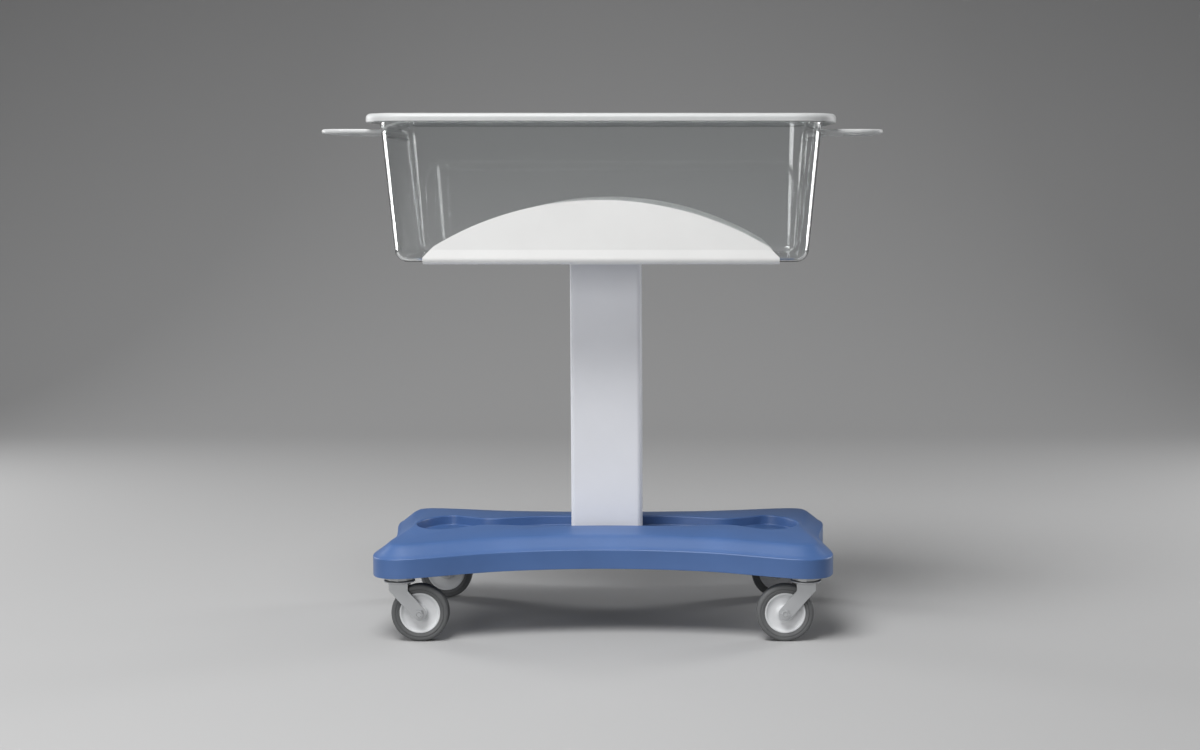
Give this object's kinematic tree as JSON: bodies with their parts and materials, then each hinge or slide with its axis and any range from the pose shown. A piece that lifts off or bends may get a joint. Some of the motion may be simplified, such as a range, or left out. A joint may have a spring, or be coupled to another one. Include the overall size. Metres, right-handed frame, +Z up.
{
  "type": "hospital bassinet",
  "caption": "Wheeled bassinet: a clear lift-out tub with end handles in an arched saddle on a box column, with a lobed moulded base and swivel castors.",
  "frame": {"origin": "on the floor under the middle of the column", "axes": "+X along the tub, +Y from the front to the back, +Z up"},
  "size_m": [0.976, 0.4532, 0.913],
  "materials": {
    "clear_plastic": "clear moulded plastic, polished",
    "blue_plastic": "satin moulded plastic",
    "white_paint": "powder coat, satin",
    "pale_paint": "powder coat, satin",
    "dark_paint": "black paint",
    "zinc_steel": "zinc plate",
    "grey_rubber": "grey rubber",
    "grey_plastic": "moulded plastic"
  },
  "bodies": {
    "base": {"castor_stem_front_left": "zinc_steel", "castor_nut_front_left": "zinc_steel", "castor_kingpin_front_left": "zinc_steel", "swivel_bearing_front_left": "zinc_steel", "castor_stem_front_right": "zinc_steel", "castor_nut_front_right": "zinc_steel", "castor_kingpin_front_right": "zinc_steel", "swivel_bearing_front_right": "zinc_steel", "castor_stem_rear_left": "zinc_steel", "castor_nut_rear_left": "zinc_steel", "castor_kingpin_rear_left": "zinc_steel", "swivel_bearing_rear_left": "zinc_steel", "castor_stem_rear_right": "zinc_steel", "castor_nut_rear_right": "zinc_steel", "castor_kingpin_rear_right": "zinc_steel", "swivel_bearing_rear_right": "zinc_steel", "chassis_beam": "dark_paint", "chassis_crossbar_left": "dark_paint", "chassis_crossbar_right": "dark_paint", "base_cover": "blue_plastic", "cover_screw_left": "zinc_steel", "cover_screw_right": "zinc_steel", "column": "pale_paint", "foot_bolt_1": "zinc_steel", "foot_bolt_2": "zinc_steel", "foot_bolt_3": "zinc_steel", "foot_bolt_4": "zinc_steel", "saddle": "white_paint", "saddle_screw_1": "zinc_steel", "saddle_screw_2": "zinc_steel", "saddle_screw_3": "zinc_steel", "saddle_screw_4": "zinc_steel"},
    "fork_front_left": {"castor_fork_front_left": "zinc_steel", "axle_bolt_front_left": "zinc_steel", "axle_nut_front_left": "zinc_steel"},
    "wheel_front_left": {"wheel_core_front_left": "grey_plastic", "tyre_front_left": "grey_rubber"},
    "fork_front_right": {"castor_fork_front_right": "zinc_steel", "axle_bolt_front_right": "zinc_steel", "axle_nut_front_right": "zinc_steel"},
    "wheel_front_right": {"wheel_core_front_right": "grey_plastic", "tyre_front_right": "grey_rubber"},
    "fork_rear_left": {"castor_fork_rear_left": "zinc_steel", "axle_bolt_rear_left": "zinc_steel", "axle_nut_rear_left": "zinc_steel"},
    "wheel_rear_left": {"wheel_core_rear_left": "grey_plastic", "tyre_rear_left": "grey_rubber"},
    "fork_rear_right": {"castor_fork_rear_right": "zinc_steel", "axle_bolt_rear_right": "zinc_steel", "axle_nut_rear_right": "zinc_steel"},
    "wheel_rear_right": {"wheel_core_rear_right": "grey_plastic", "tyre_rear_right": "grey_rubber"},
    "tub": {"tub": "clear_plastic"}
  },
  "joints": [
    {"name": "swivel_front_left", "type": "hinge", "parent": "base", "child": "fork_front_left", "pos_m": [-0.354, -0.18, 0.1], "axis": [0, 0, 1], "continuous": true},
    {"name": "roll_front_left", "type": "hinge", "parent": "fork_front_left", "child": "wheel_front_left", "pos_m": [-0.318, -0.18, 0.05], "axis": [0, 1, 0], "continuous": true},
    {"name": "swivel_front_right", "type": "hinge", "parent": "base", "child": "fork_front_right", "pos_m": [0.354, -0.18, 0.1], "axis": [0, 0, 1], "continuous": true},
    {"name": "roll_front_right", "type": "hinge", "parent": "fork_front_right", "child": "wheel_front_right", "pos_m": [0.318, -0.18, 0.05], "axis": [0, 1, 0], "continuous": true},
    {"name": "swivel_rear_left", "type": "hinge", "parent": "base", "child": "fork_rear_left", "pos_m": [-0.354, 0.18, 0.1], "axis": [0, 0, 1], "continuous": true},
    {"name": "roll_rear_left", "type": "hinge", "parent": "fork_rear_left", "child": "wheel_rear_left", "pos_m": [-0.318, 0.18, 0.05], "axis": [0, 1, 0], "continuous": true},
    {"name": "swivel_rear_right", "type": "hinge", "parent": "base", "child": "fork_rear_right", "pos_m": [0.354, 0.18, 0.1], "axis": [0, 0, 1], "continuous": true},
    {"name": "roll_rear_right", "type": "hinge", "parent": "fork_rear_right", "child": "wheel_rear_right", "pos_m": [0.318, 0.18, 0.05], "axis": [0, 1, 0], "continuous": true},
    {"name": "tub_lift", "type": "slide", "parent": "base", "child": "tub", "axis": [0, 0, 1], "range_m": [0, 0.13]}
  ]
}
